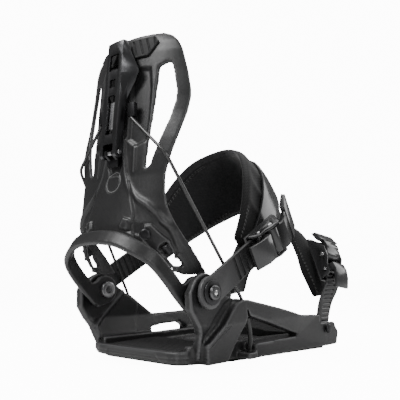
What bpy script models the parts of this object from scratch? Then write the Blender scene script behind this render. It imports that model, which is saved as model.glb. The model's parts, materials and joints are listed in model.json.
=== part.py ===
"""Rear-entry snowboard binding: base tray, reclining highback on a heel hoop, rear lever with two cables,
ankle strap and toe strap with ratchet buckles.

Sizes are in millimetres and MM turns them into metres. X runs to the toe, Y to the strap hinge side (far),
Z up from the board. The ratchet buckles are on the -Y side (near).
"""

import math

import bmesh
import bpy
from mathutils import Matrix, Vector

MM = 0.001
GAP = 0.3
SIDES = {"near": -1, "far": 1}

# Base tray
HEEL_X = -112
TOE_X = 100
HEEL_HALF = 53
TOE_HALF = 66
FLOOR_LOW = 3
FLOOR_HIGH = 10
LIP_HIGH = 14.5
RAIL_HIGH = 18
RAIL_THICK = 6
LIFT_HIGH = 9
LIFT_FROM = -40
LIFT_BY = 3.6
LIFT_FORWARD = 4
LIFT_SIDE = 0.06
DISC_RADIUS = 41
DISC_HIGH = 13
DISC_X = 0
SLOT_RADIUS = 4.2
SCREW_CIRCLE = 20

# Side walls
WALL_IN = 60
WALL_OUT = 66
TRUSS_OUT = 73
TRUSS_TOE_OUT = 69
LEAN_FROM = 34
LEAN_SLOPE = 0.38
LEAN_HEEL = -30
LEAN_TOE = 80
TAPER_FROM = -20
PIVOT_X = -96
PIVOT_Z = 58.6
PIVOT_BOSS = 14.5
BOLT_RADIUS = 3
BOLT_HEAD = 9.3

# Highback and hoop
HIGHBACK_TOP = 268
HIGHBACK_THICK = 3.6
HOOP_WIDTH = 12.5
HOOP_THICK = 5
HOOP_OUT = 57
HOOP_BACK = (-149, 100)
LUG_RADIUS = 12.3

# Lever
LEVER_TOP = 263
LEVER_BOTTOM = 162
LEVER_HALF = 9.6
LEVER_SHEET = 2
LEVER_PIN = (-136, 168)
PIN_RADIUS = 1.8
LEVER_FOOT = 4.25
HOOP_SCREW = (38.8, 101.5)

# Cable
CABLE_RADIUS = 1.35
SHEATH_RADIUS = 2
CABLE_HOLE = 3
CABLE_ROUTE = ((-131.6, 19, 195), (-127, 53.6, 162), (-55.8, 69, 52.2), (-50.5, 69.9, 38))
SHEATH_ROUTE = ((-50.2, 69.9, 37.4), (-47.2, 69.5, 29), (-42, 66.6, 19), (-37.6, 62, 11.5), (-37, 61.4, 5.5))

# Straps
ARM_IN = 68.8
ARM_THICK = 3
ARM_WIDTH = 21
ARM_SLOPE = 30
ARM_LENGTH = 112
ARM_TOOTH = 3.4
ANKLE_PAD_THICK = 8
SHELL_THICK = 2.4
TOE_PAD_THICK = 8
TOE_LADDER_WIDTH = 21
TOE_BOLT = (79, 20)

# Ratchet buckles, along the strap, outward and across
BUCKLE_FLOOR = 2.2
BUCKLE_EAR = 2
BUCKLE_HALF = 11.8
BUCKLE_PIN_HIGH = 11.8
BUCKLE_HUB = 5
BUCKLE_PIN = 2
PAWL_BACK = 15
PAWL_HIGH = 9.4
PAWL_HUB = 3
SWEEP_FROM = 9
ANKLE_REACH = 33
ANKLE_SWEEP = 0.46
TOE_REACH = 23

SEGMENTS = 28


def clear_scene():
    for old in list(bpy.data.objects):
        bpy.data.objects.remove(old, do_unlink=True)


def new_collection(name):
    made = bpy.data.collections.new(name)
    bpy.context.scene.collection.children.link(made)
    return made


def material(name, colour, roughness, metallic=0.0):
    made = bpy.data.materials.new(name)
    made.use_nodes = True
    shader = made.node_tree.nodes["Principled BSDF"]
    shader.inputs["Base Color"].default_value = (*colour, 1)
    shader.inputs["Roughness"].default_value = roughness
    shader.inputs["Metallic"].default_value = metallic
    return made


def mesh_object(name, points, faces, finish=None):
    """An object from points in millimetres, in the parts collection, or among the cutters without a finish."""
    shape = bmesh.new()
    corners = [shape.verts.new(Vector(p) * MM) for p in points]
    for face in faces:
        shape.faces.new([corners[i] for i in face])
    bmesh.ops.recalc_face_normals(shape, faces=shape.faces)
    data = bpy.data.meshes.new(name)
    shape.to_mesh(data)
    shape.free()
    made = bpy.data.objects.new(name, data)
    if finish is None:
        cutters.objects.link(made)
        made.hide_render = True
        made.display_type = "WIRE"
    else:
        data.materials.append(finish)
        parts.objects.link(made)
    return made


def prism(name, outline, axis, low, high, finish=None):
    """A closed outline pushed along an axis. Its two coordinates are the other two axes, in X, Y, Z order."""
    place = {
        "x": lambda a, b, t: (t, a, b),
        "y": lambda a, b, t: (a, t, b),
        "z": lambda a, b, t: (a, b, t),
    }[axis]
    count = len(outline)
    points = [place(a, b, low) for a, b in outline] + [place(a, b, high) for a, b in outline]
    faces = [list(range(count)), list(range(count, 2 * count))]
    faces += [[i, (i + 1) % count, (i + 1) % count + count, i + count] for i in range(count)]
    return mesh_object(name, points, faces, finish)


def box(name, low, high, finish=None):
    (x0, y0, z0), (x1, y1, z1) = low, high
    return prism(name, [(x0, y0), (x1, y0), (x1, y1), (x0, y1)], "z", z0, z1, finish)


def filleted(corners):
    """An outline with each corner (a, b, radius) rounded by an arc of about 20 degree steps."""
    outline = []
    for i, (a, b, radius) in enumerate(corners):
        here = Vector((a, b))
        before = (Vector(corners[i - 1][:2]) - here)
        after = (Vector(corners[(i + 1) % len(corners)][:2]) - here)
        if radius == 0:
            outline.append((a, b))
            continue
        turn = before.angle(after)
        reach = min(radius / math.tan(turn / 2), 0.48 * before.length, 0.48 * after.length)
        real = reach * math.tan(turn / 2)
        middle = here + (before.normalized() + after.normalized()).normalized() * real / math.sin(turn / 2)
        start = here + before.normalized() * reach - middle
        sweep = start.angle_signed(here + after.normalized() * reach - middle)
        steps = max(1, round(abs(sweep) / math.radians(20)))
        for k in range(steps + 1):
            angle = -sweep * k / steps
            spun = Matrix.Rotation(angle, 2) @ start
            outline.append(tuple(middle + spun))
    return outline


def circle(a, b, radius, count=SEGMENTS):
    return [
        (a + radius * math.cos(2 * math.pi * k / count), b + radius * math.sin(2 * math.pi * k / count))
        for k in range(count)
    ]


def lathe(name, profile, origin, axis, finish=None, count=SEGMENTS):
    """Turns (radius, height) pairs about an axis. The first and last radius are closed by a flat cap."""
    axis = Vector(axis).normalized()
    across = axis.orthogonal().normalized()
    other = axis.cross(across)
    points = []
    for radius, height in profile:
        for k in range(count):
            angle = 2 * math.pi * k / count
            ring = (across * math.cos(angle) + other * math.sin(angle)) * radius
            points.append(Vector(origin) + ring + axis * height)
    faces = []
    for row in range(len(profile) - 1):
        for k in range(count):
            a, b = row * count + k, row * count + (k + 1) % count
            faces.append([a, b, b + count, a + count])
    faces.append(list(range(count)))
    faces.append(list(range(len(points) - count, len(points))))
    return mesh_object(name, points, faces, finish)


def smooth(points, per=4):
    """Points on a Catmull-Rom curve through the given ones."""
    points = [Vector(p) for p in points]
    ends = [2 * points[0] - points[1], *points, 2 * points[-1] - points[-2]]
    out = []
    for a, b, c, d in zip(ends, ends[1:], ends[2:], ends[3:]):
        for k in range(per):
            t = k / per
            out.append(
                0.5 * (2 * b + (c - a) * t + (2 * a - 5 * b + 4 * c - d) * t * t + (3 * b - 3 * c + d - a) * t**3)
            )
    out.append(points[-1])
    return out


def tangents(points):
    return [
        (points[min(i + 1, len(points) - 1)] - points[max(i - 1, 0)]).normalized()
        for i in range(len(points))
    ]


def sweep(name, route, across, section, finish=None):
    """Carries a closed section (across, outward) along a route. across gives the first section axis at a station."""
    route = [Vector(p) for p in route]
    points = []
    for station, along in zip(route, tangents(route)):
        side = Vector(across(station) if callable(across) else across)
        side = (side - along * side.dot(along)).normalized()
        outward = along.cross(side).normalized()
        points += [station + side * a + outward * b for a, b in section]
    count = len(section)
    faces = [list(range(count)), list(range(len(points) - count, len(points)))]
    for row in range(len(route) - 1):
        for k in range(count):
            a, b = row * count + k, row * count + (k + 1) % count
            faces.append([a, b, b + count, a + count])
    return mesh_object(name, points, faces, finish)


def cushion_section(width, thick, corner):
    w, t = width / 2, thick / 2
    return [
        (w - corner, -t), (w, -t + corner), (w, t - corner), (w - corner, t),
        (corner - w, t), (-w, t - corner), (-w, corner - t), (corner - w, -t),
    ]


def sheet(name, grid, thick, finish=None):
    """A closed sheet from rows of points on its outer face, thickened towards the side its normals leave."""
    rows, columns = len(grid), len(grid[0])
    grid = [[Vector(p) for p in row] for row in grid]
    inner = []
    for i in range(rows):
        for j in range(columns):
            along = grid[min(i + 1, rows - 1)][j] - grid[max(i - 1, 0)][j]
            aside = grid[i][min(j + 1, columns - 1)] - grid[i][max(j - 1, 0)]
            inner.append(grid[i][j] - along.cross(aside).normalized() * thick)
    points = [p for row in grid for p in row] + inner
    offset = rows * columns
    faces = []
    for i in range(rows - 1):
        for j in range(columns - 1):
            a = i * columns + j
            quad = [a, a + 1, a + columns + 1, a + columns]
            faces.append(quad)
            faces.append([k + offset for k in quad])
    rim = [(0, j) for j in range(columns)] + [(i, columns - 1) for i in range(1, rows)]
    rim += [(rows - 1, j) for j in range(columns - 2, -1, -1)] + [(i, 0) for i in range(rows - 2, 0, -1)]
    rim = [i * columns + j for i, j in rim]
    for a, b in zip(rim, rim[1:] + rim[:1]):
        faces.append([a, b, b + offset, a + offset])
    return mesh_object(name, points, faces, finish)


def boolean(target, tool, operation):
    made = target.modifiers.new(operation.title(), "BOOLEAN")
    made.operation = operation
    made.object = tool
    made.solver = "EXACT"


def cut(target, *tools):
    for tool in tools:
        boolean(target, tool, "DIFFERENCE")


def join(target, *pieces):
    for piece in pieces:
        boolean(target, piece, "UNION")


def hinge(name, location, *pieces, parent=None):
    """An empty on a joint's axis, which carries its pieces."""
    empty = bpy.data.objects.new(name, None)
    empty.empty_display_size = 10 * MM
    parts.objects.link(empty)
    empty.location = Vector(location) * MM
    if parent:
        bpy.context.view_layer.update()
        empty.parent = parent
        empty.matrix_parent_inverse = parent.matrix_world.inverted()
    bpy.context.view_layer.update()
    for piece in pieces:
        piece.parent = empty
        piece.matrix_parent_inverse = empty.matrix_world.inverted()
    return empty


def mirrored(points, side):
    return [(x, y * side, z) for x, y, z in points]


def half_width(x):
    """Half the base's width, straight at the heel and flared towards the toe."""
    flare = max(0, (x + 30) / (TOE_X + 30))
    return HEEL_HALF + (TOE_HALF - HEEL_HALF) * flare**1.2


def base_outline(inset=0):
    stations = [HEEL_X + 9 + inset / 2, -60, -30, 0, 30, 60, 88]
    far = [(HEEL_X + inset, 40 - inset / 2), (HEEL_X + 2.5 + inset, 49 - inset)]
    far += [(x, half_width(x) - inset) for x in stations]
    far += [(TOE_X - 4 - inset, half_width(TOE_X) - 8 - inset), (TOE_X - inset, 44)]
    return far + [(x, -y) for x, y in reversed(far)]


def panel_outline(word):
    """The rear upright of a side wall, round over the pivot."""
    fronts = {"near": [(-72, 56), (-50, 49), (-62, 4.3)], "far": [(-72, 58.5), (-51, 45), (-62, 4.3)]}
    over = [
        (PIVOT_X + PIVOT_BOSS * math.cos(math.radians(a)), PIVOT_Z + PIVOT_BOSS * math.sin(math.radians(a)))
        for a in range(150, 14, -17)
    ]
    backs = {"near": [(-84, 4.3), (-95, 8), (-100, 28), (-113, 46), (-114, 58)],
             "far": [(-84, 4.3), (-101, 8), (-107, 28), (-118, 44), (-118, 60)]}
    return [*backs[word], *over, *fronts[word]]


def far_truss_outline():
    """The far side wall's lower beam: a solid brace that drops to a level beam over a shallow window."""
    return filleted([
        (-88, 3.6, 0), (-95, 19, 2), (-70, 52.5, 5), (-61, 53.6, 3), (-29, 33.2, 7), (20, 34.6, 5), (62, 34, 4),
        (90, 30, 3), (102, 15, 2), (98, 3.6, 0), (-31, 3.6, 0), (-32, 15.8, 1.5), (19, 16.6, 2), (6, 24.2, 4),
        (-22, 23.4, 3), (-36.5, 21.6, 2), (-37.5, 3.6, 0),
    ])


def near_truss_outline():
    """The brace, the long top beam and the toe end of a side wall, with the three-cornered window below."""
    return filleted([
        (-88, 3.6, 0), (-95, 19, 2), (-66, 50, 5), (-57, 53, 3), (3, 42, 0), (35, 35, 4), (62, 34, 4),
        (90, 30, 3), (102, 15, 2), (98, 3.6, 0), (-31, 3.6, 0), (-32, 15.6, 1.5), (26, 16.8, 1), (29, 18.6, 1),
        (-12, 29.5, 6), (-52, 39.8, 3), (-60, 22, 0), (-64, 3.6, 0),
    ])


def reshape(obj, cuts, move):
    """Splits a mesh at planes (axis, place), makes it triangles and moves its points by a function of millimetres."""
    shape = bmesh.new()
    shape.from_mesh(obj.data)
    for axis, place in cuts:
        whole = [*shape.verts, *shape.edges, *shape.faces]
        normal = Vector([1.0 if axis == k else 0.0 for k in "xyz"])
        bmesh.ops.bisect_plane(shape, geom=whole, plane_co=normal * place * MM, plane_no=normal, dist=1e-7)
    bmesh.ops.triangulate(shape, faces=shape.faces)
    for vertex in shape.verts:
        vertex.co = Vector(move(*(vertex.co / MM))) * MM
    shape.to_mesh(obj.data)
    shape.free()


def lean(obj, side):
    """Draws the foot of a wall in towards the base, less so towards the toe."""

    def move(x, y, z):
        fade = min(1, max(0, (LEAN_TOE - x) / (LEAN_TOE - LEAN_HEEL)))
        return x, y - side * max(0, LEAN_FROM - z) * LEAN_SLOPE * fade, z

    reshape(obj, [("z", LEAN_FROM), ("x", LEAN_HEEL), ("x", LEAN_TOE)], move)


def taper_truss(obj, side):
    """Thins the truss towards the toe on its outer face."""

    def move(x, y, z):
        if abs(y) < WALL_OUT:
            return x, y, z
        share = min(1, max(0, (x - TAPER_FROM) / (LEAN_TOE - TAPER_FROM)))
        return x, side * (TRUSS_OUT + (TRUSS_TOE_OUT - TRUSS_OUT) * share), z

    reshape(obj, [("x", TAPER_FROM), ("x", LEAN_TOE)], move)


def lift_heel(obj):
    """Raises the underside of the heel end off the board, below the moulding line."""

    def move(x, y, z):
        reach = min(1, max(0, (LIFT_FROM - x) / (LIFT_FROM - HEEL_X)))
        share = max(0, LIFT_HIGH - z) / LIFT_HIGH * reach
        return x + LIFT_FORWARD * share, y * (1 - LIFT_SIDE * share), z + LIFT_BY * share

    reshape(obj, [("z", LIFT_HIGH), ("x", LIFT_FROM)], move)


def base_tray():
    tray = prism("base_tray", base_outline(), "z", FLOOR_LOW, RAIL_HIGH, nylon)
    lift_heel(tray)
    hollow = prism("rim_hollow", base_outline(RAIL_THICK), "z", FLOOR_HIGH, RAIL_HIGH + 1)
    low_heel = box("heel_step", (HEEL_X - 1, -70, LIP_HIGH), (HEEL_X + 12, 70, RAIL_HIGH + 1))
    low_toe = box("toe_step", (TOE_X - 12, -70, LIP_HIGH), (TOE_X + 1, 70, RAIL_HIGH + 1))
    cut(tray, hollow, low_heel, low_toe)
    for word, side in SIDES.items():
        low, high = sorted((side * WALL_IN, side * WALL_OUT))
        panel = prism(f"panel_{word}", panel_outline(word), "y", low, high)
        low, high = sorted((side * (WALL_IN + 1), side * TRUSS_OUT))
        truss_outline = near_truss_outline if word == "near" else far_truss_outline
        truss = prism(f"truss_{word}", truss_outline(), "y", low, high)
        taper_truss(truss, side)
        for wall in (panel, truss):
            lean(wall, side)
        join(tray, panel, truss)
        if word == "far":
            low, high = sorted((side * 64.6, side * 80))
            groove = prism("sheath_groove", [(-54, 3), (-54, 40), (-43, 40), (-31, 16), (-31, 3)], "y", low, high)
            lean(groove, side)
            cut(tray, groove)
        low, high = sorted((side * (half_width(-36) - 3), side * 66))
        socket = box(f"socket_{word}", (-42.5, low, FLOOR_LOW + 0.5), (-30.5, high, 9))
        join(tray, socket)
        cut(tray, lathe(f"bolt_hole_{word}", [(BOLT_RADIUS + GAP, -20), (BOLT_RADIUS + GAP, 20)],
                        (PIVOT_X, side * WALL_IN, PIVOT_Z), (0, 1, 0), count=20))
        top, foot = Vector(CABLE_ROUTE[2]), Vector(CABLE_ROUTE[3])
        top, foot = Vector((top.x, side * top.y, top.z)), Vector((foot.x, side * foot.y, foot.z))
        cut(tray, lathe(f"cable_hole_{word}", [(CABLE_HOLE, -12), (CABLE_HOLE, 30)], top, foot - top, count=16))
        end = SHEATH_ROUTE[-1]
        cut(tray, lathe(f"sheath_hole_{word}", [(SHEATH_RADIUS + 3 * GAP, -0.4), (SHEATH_RADIUS + 3 * GAP, 6)],
                        (end[0], side * end[1], end[2]), (0, 0, 1), count=16))
        low, high = sorted((side * 62.2, side * 66.2))
        cut(tray, box(f"ladder_slot_{word}", (TOE_BOLT[0] - 12.5, low, 8.4), (TOE_BOLT[0] + 30, high, 60)))
        low, high = sorted((side * 66, side * 80))
        cut(tray, box(f"ladder_notch_{word}", (TOE_BOLT[0] - 12.5, low, TOE_BOLT[1] + 6), (TOE_BOLT[0] + 16, high, 60)))
        cut(tray, lathe(f"toe_hole_{word}", [(2.3, -12), (2.3, 14)],
                        (TOE_BOLT[0], side * WALL_IN, TOE_BOLT[1]), (0, side, 0), count=16))
    cut(tray, lathe("disc_bore", [(DISC_RADIUS + GAP, -5), (DISC_RADIUS + GAP, 30)], (DISC_X, 0, 0), (0, 0, 1),
                    count=40))
    return tray


def underpad():
    outline = [(a, b * 0.96) for a, b in base_outline(3)]
    pad = prism("base_gasket", outline, "z", 0, FLOOR_LOW - GAP, foam)
    lift_heel(pad)
    cut(pad, lathe("gasket_bore", [(DISC_RADIUS + 2, -1), (DISC_RADIUS + 2, 9)], (DISC_X, 0, 0), (0, 0, 1), count=40))
    return pad


def mounting_disc():
    disc = lathe("mounting_disc", [(DISC_RADIUS, 0), (DISC_RADIUS, DISC_HIGH - 3), (DISC_RADIUS - 3, DISC_HIGH)],
                 (DISC_X, 0, 0), (0, 0, 1), nylon, count=40)
    made = [disc]
    for k in range(4):
        angle = math.radians(45 + 90 * k)
        x = DISC_X + SCREW_CIRCLE * math.sqrt(2) * math.cos(angle)
        y = SCREW_CIRCLE * math.sqrt(2) * math.sin(angle)
        cut(disc, lathe(f"disc_hole_{k + 1}", [(3.4, -1), (3.4, 8.5), (7.6, 8.5), (7.6, 20)], (x, y, 0), (0, 0, 1),
                        count=20))
        made.append(lathe(f"disc_screw_{k + 1}", [(3, 0.2), (3, 8.8), (7.2, 8.8), (7.2, 10.8), (6, 12.6)], (x, y, 0),
                          (0, 0, 1), steel, count=20))
    return made


def footbed():
    """The heel pad and the ramped toe pad, on the floor in front of and behind the disc."""
    reach = DISC_RADIUS + 2
    heel_rim = [(HEEL_X + 9, -28), (HEEL_X + 14, -38), (-62, -44), (-40, -44), (-40, 44), (-62, 44),
                (HEEL_X + 14, 38), (HEEL_X + 9, 28)]
    heel = prism("heel_pad", heel_rim, "z", FLOOR_HIGH + GAP, FLOOR_HIGH + 4, rubber)
    cut(heel, lathe("heel_pad_bore", [(reach, 0), (reach, 40)], (DISC_X, 0, 0), (0, 0, 1), count=40))
    toe_side = [(34, FLOOR_HIGH + GAP), (89, FLOOR_HIGH + GAP), (90, 22), (84, 25), (60, 22.5), (34, 19)]
    toe = prism("toe_pad_ramp", toe_side, "y", -50, 50, rubber)
    cut(toe, lathe("toe_pad_bore", [(reach, 0), (reach, 40)], (DISC_X, 0, 0), (0, 0, 1), count=40))
    return [heel, toe]


def hoop_route():
    """The middle line of the hoop, from the near lug over the back to the far lug."""
    back_x, back_z = HOOP_BACK
    mid = HOOP_OUT - HOOP_THICK / 2
    half = [
        (PIVOT_X - 7, mid, PIVOT_Z - 9), (PIVOT_X - 18, mid, PIVOT_Z + 1), (PIVOT_X - 30, mid, PIVOT_Z + 13),
        (PIVOT_X - 41, mid - 4, PIVOT_Z + 25), (back_x + 4.5, mid - 16.5, back_z - 8), (back_x + 1, mid - 32, back_z - 2),
    ]
    near = mirrored(half, -1)
    return near + [(back_x, 0, back_z)] + half[::-1]


def heel_hoop():
    route = smooth(hoop_route(), 3)
    hoop = sweep("heel_hoop", route, (0.55, 0, 0.83), cushion_section(HOOP_WIDTH, HOOP_THICK, 1.4), nylon)
    for word, side in SIDES.items():
        low, high = sorted((side * (HOOP_OUT - HOOP_THICK), side * HOOP_OUT))
        lug_outline = circle(PIVOT_X, PIVOT_Z, LUG_RADIUS)
        lug = prism(f"lug_{word}", lug_outline, "y", low, high)
        bridge = prism(f"bridge_{word}", [(-117, 62), (-104, 43.5), (-92, 47), (-96, 70), (-106, 66)], "y",
                       low + 0.02, high - 0.02)
        join(hoop, lug, bridge)
        cut(hoop, lathe(f"lug_hole_{word}", [(BOLT_RADIUS + GAP, -20), (BOLT_RADIUS + GAP, 20)],
                        (PIVOT_X, side * HOOP_OUT, PIVOT_Z), (0, 1, 0), count=20))
    return hoop


def highback_spine(z):
    """How far back the middle of the highback stands at a height."""
    levels = ((96, -143.5), (108, -141.5), (125, -137), (150, -132.3), (166, -131.3), (200, -128.6), (233, -125.6),
              (HIGHBACK_TOP, -122.4))
    for (low, x_low), (high, x_high) in zip(levels, levels[1:]):
        if z <= high:
            return x_low + (x_high - x_low) * (z - low) / (high - low)
    return levels[-1][1]


# Height, half width, how far the edges reach forward of the spine, and the angle that the arc turns through
HIGHBACK_LEVELS = (
    (66, 57, 68, 90), (76, 57, 60, 90), (86, 57, 50, 88), (98, 57, 36, 84), (110, 56.5, 22, 76), (122, 53, 13.5, 66),
    (134, 50.5, 10, 58), (148, 50, 8, 50), (164, 54.5, 8.5, 46), (176, 58, 10.5, 46), (186, 60.2, 13, 47),
    (197, 62, 16.2, 48), (209, 63, 18.2, 49), (216, 62.4, 18.2, 49), (232, 59, 16.7, 47), (250, 54.5, 13.6, 44),
    (258, 50.5, 12.4, 42), (264, 44.5, 12, 40), (HIGHBACK_TOP, 36, 10, 36),
)


def highback_row(level, columns=24):
    z, half, reach, turn = level
    turn = math.radians(turn)
    row = []
    for j in range(columns + 1):
        angle = turn * (2 * j / columns - 1)
        x = highback_spine(z) + reach * (1 - math.cos(angle)) / (1 - math.cos(turn))
        row.append((x, half * math.sin(angle) / math.sin(turn), z))
    return row


def highback_back(y, z):
    """Where the back face of the highback is at a height, y off its middle."""
    for below, above in zip(HIGHBACK_LEVELS, HIGHBACK_LEVELS[1:]):
        if z <= above[0]:
            share = (z - below[0]) / (above[0] - below[0])
            half, reach, turn = (a + (b - a) * share for a, b in zip(below[1:], above[1:]))
            break
    turn = math.radians(turn)
    angle = math.asin(min(1, abs(y) / half * math.sin(turn)))
    return highback_spine(z) + reach * (1 - math.cos(angle)) / (1 - math.cos(turn))


def highback_windows():
    """The long opening between the spine and each rim."""
    near = [(-46.6, 240.5, 4), (-36.2, 236.5, 3), (-35.6, 217, 8), (-33.4, 180, 8), (-31.6, 152.6, 1.5),
            (-36.6, 155, 1.5), (-41.3, 167.8, 5), (-49.3, 189.6, 8), (-52.5, 208, 5), (-52.3, 214.5, 5),
            (-49.8, 227, 6)]
    return [filleted([(side * -y, z, r) for y, z, r in near]) for side in (-1, 1)]


# The slot through each arm of the highback, and the clamp block in its upper end
ARM_SLOT = ((-125.3, 91.8), (-121.2, 96), (-106, 78.8), (-110.6, 74.2))
CLAMP_BLOCK = ((-124.3, 91.9), (-121.3, 95), (-116.6, 89.4), (-119.8, 86.6))


def highback_shell():
    grid = [highback_row(level) for level in HIGHBACK_LEVELS]
    shell = sheet("highback", grid, HIGHBACK_THICK, nylon)
    for number, outline in enumerate(highback_windows()):
        cut(shell, prism(f"highback_window_{number}", outline, "x", -180, -60))
    arm_cut = [(-200, 30), (-60, 30), (-60, 80), (-84, 73), (-97, 71.6), (-106, 71.6), (-118, 78.5), (-132, 93), (-140, 100.4),
               (-149, 107.2), (-200, 107.2)]
    cut(shell, prism("hoop_seat", arm_cut, "y", -90, 90))
    for word, side in SIDES.items():
        low, high = sorted((side * 38, side * 80))
        slot = filleted([(x, z, 1.2) for x, z in ARM_SLOT])
        cut(shell, prism(f"arm_slot_{word}", slot, "y", low, high))
    return shell


# The grip's rows: height and half width
GRIP_ROWS = ((247.5, 27), (252, 31.5), (258.5, 36), (264, 32))


def top_grip():
    """The ribbed rubber pad on the back of the highback's top edge."""
    rows = []
    for z, reach in GRIP_ROWS:
        columns = [reach * (k / 8 - 1) for k in range(17)]
        rows.append([(highback_back(y, z) - GAP - 1.6, y, z) for y in columns])
    return sheet("top_grip", rows, 1.6, rubber)


def hoop_fasteners():
    """The screw and the clamp block that hold each highback arm to the hoop."""
    made = []
    y, z = HOOP_SCREW
    slope_y = highback_back(y + 1, z) - highback_back(y, z)
    slope_z = highback_back(y, z + 1) - highback_back(y, z)
    for word, side in SIDES.items():
        outward = Vector((-1, side * slope_y, slope_z)).normalized()
        seat = (highback_back(y, z), side * y, z)
        made.append(lathe(f"hoop_screw_{word}", [(4.4, 0.7), (4.4, 1.9), (3, 2.9)], seat, outward, steel, count=20))
        low, high = sorted((side * 44.5, side * 51.5))
        made.append(prism(f"clamp_block_{word}", CLAMP_BLOCK, "y", low, high, black_metal))
    return made


def bolts():
    """Each side's main bolt, with its outer washer, its spacer and its inner nut."""
    made = {"base": [], "strap": [], "highback": []}
    outer = ARM_IN + ARM_THICK + GAP
    for word, side in SIDES.items():
        at, axis = (PIVOT_X, 0, PIVOT_Z), (0, side, 0)
        inner = HOOP_OUT - HOOP_THICK - GAP
        bolt = lathe(f"pivot_bolt_{word}",
                     [(BOLT_RADIUS, inner - 3.6), (BOLT_RADIUS, outer + 1.9), (5.6, outer + 1.9), (5.6, outer + 3.6),
                      (4.6, outer + 4.4)], at, axis, steel)
        socket = lathe(f"bolt_socket_{word}", [(2.6, outer + 2.6), (2.6, outer + 9)], at, axis, count=6)
        cut(bolt, socket)
        washer = ring(f"pivot_washer_{word}", at, axis, BOLT_HEAD, outer, outer + 1.6, black_metal)
        spacer = ring(f"strap_spacer_{word}", at, axis, 9, WALL_OUT + GAP, ARM_IN - GAP, black_metal)
        nut = ring(f"pivot_nut_{word}", at, axis, 7, inner - 3.4, inner, steel)
        made["base"] += [bolt, washer, spacer, nut]
    return made


def ring(name, at, axis, radius, low, high, finish):
    made = lathe(name, [(radius, low), (radius, high)], at, axis, finish)
    cut(made, lathe(f"{name}_bore", [(BOLT_RADIUS + GAP, low - 5), (BOLT_RADIUS + GAP, high + 5)], at, axis, count=20))
    return made


def lever_back(z):
    """The back face of the lever's web, parallel to the highback's spine."""
    share = (LEVER_TOP - z) / (LEVER_TOP - LEVER_BOTTOM)
    return -133.2 - 7 * share


# Height, how far the flange ends stand forward of the back face, and their half width
LEVER_STATIONS = (
    (LEVER_BOTTOM, 8.6, 10), (174, 8, 10), (179, 6.6, 10), (200, 6.8, 10.2), (213, 7, 10.6), (226, 7.4, 19), (234, 7.2, 23),
    (240, 6.6, 20.5), (250, 6, 15), (257, 5, 12), (LEVER_TOP, 4, 10),
)


def lever():
    """The sheet metal channel that pulls the cables tight, with flared finger wings near its top."""
    grid = []
    for z, reach, half in LEVER_STATIONS:
        back = lever_back(z)
        row = [(back + reach, -half, z), (back + reach / 2, -(half + LEVER_HALF) / 2, z), (back, -LEVER_HALF, z),
               (back - 0.6, 0, z)]
        grid.append(row + mirrored(row[-2::-1], -1))
    made = sheet("lever", grid, LEVER_SHEET, lever_metal)
    openings = (
        [(-4.6, 183, 1), (4.6, 183, 1), (4.6, 216, 1), (-4.6, 216, 1)],
        [(-3.4, 223, 0), (3.4, 223, 0), (3.4, 230, 0), (-3.4, 230, 0)],
        [(-6, 238, 1), (6, 238, 1), (5.4, 252, 1), (-5.4, 252, 1)],
        [(-6.3, 155, 0), (6.3, 155, 0), (6.3, 175, 1), (-6.3, 175, 1)],
    )
    for number, outline in enumerate(openings):
        cut(made, prism(f"lever_opening_{number}", filleted(outline), "x", -150, -110))
    pin_x, pin_z = LEVER_PIN
    cut(made, lathe("lever_pin_hole", [(PIN_RADIUS + GAP, -20), (PIN_RADIUS + GAP, 20)], (pin_x, 0, pin_z), (0, 1, 0),
                    count=16))
    arc = [math.radians(180 + 15 * k) for k in range(13)]
    foot = [(pin_x + LEVER_FOOT * math.cos(a), pin_z + LEVER_FOOT * math.sin(a)) for a in arc]
    round_foot = [(-150, pin_z - 0.1), *foot, (-118, pin_z - 0.1), (-118, 150), (-150, 150)]
    cut(made, prism("round_foot", round_foot, "y", -30, 30))
    cap = box("lever_cap", (lever_back(LEVER_TOP), -LEVER_HALF, LEVER_TOP - 2),
              (lever_back(LEVER_TOP) + 4, LEVER_HALF, LEVER_TOP))
    join(made, cap)
    return made


def lever_mount():
    """The bracket on the highback, the lever's pin, the cable block inside the lever and the two cable guides."""
    pin_x, pin_z = LEVER_PIN
    seat = [(highback_back(0, z) - GAP, z) for z in (157, 168, 180)]
    plate = [*seat, (seat[2][0] - 2, 180), (seat[0][0] - 2, 157)]
    bracket = prism("lever_bracket", plate, "y", -5.9, 5.9, black_metal)
    ears = [(seat[1][0] - 1.5, pin_z - 6), (seat[1][0] - 1.5, pin_z + 6), (pin_x + 1, pin_z + 4),
            (pin_x - 2.7, pin_z + 1.5), (pin_x - 2.7, pin_z - 1.5), (pin_x + 1, pin_z - 4)]
    for y in (-5.5, 3.1):
        ear = prism(f"bracket_ear_{y:.0f}", ears, "y", y, y + 2.4)
        join(bracket, ear)
    cut(bracket, lathe("bracket_pin_hole", [(PIN_RADIUS + GAP, -20), (PIN_RADIUS + GAP, 20)], (pin_x, 0, pin_z),
                       (0, 1, 0), count=16))
    pin = lathe("lever_pin", [(PIN_RADIUS, -11), (PIN_RADIUS, 11)], (pin_x, 0, pin_z), (0, 1, 0), steel, count=16)
    z_low, z_high = 188, 211
    block_out = [(lever_back(z) + LEVER_SHEET + GAP, z) for z in (z_low, z_high)]
    block_in = [(highback_back(0, z) - GAP - 0.4, z) for z in (z_high, z_low)]
    block = prism("cable_block", block_out + block_in, "y", -6.8, 6.8, bright_metal)
    guides = []
    for word, side in SIDES.items():
        start = Vector(CABLE_ROUTE[0])
        low, high = sorted((side * (start.y - 4.2), side * (start.y + 3.2)))
        back = highback_back(start.y + 3.2, 200)
        guide = box(f"cable_guide_{word}", (back - 5.6, low, start.z + 1.3), (back - GAP - 1, high, start.z + 12.5),
                    black_metal)
        guides.append(guide)
    return bracket, pin, block, guides


def wire(name, route, radius, finish, corners=12):
    """A round wire along a route, with flat ends."""
    section = circle(0, 0, radius, corners)
    return sweep(name, route, (0.3, 0, 1), section, finish)


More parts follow.
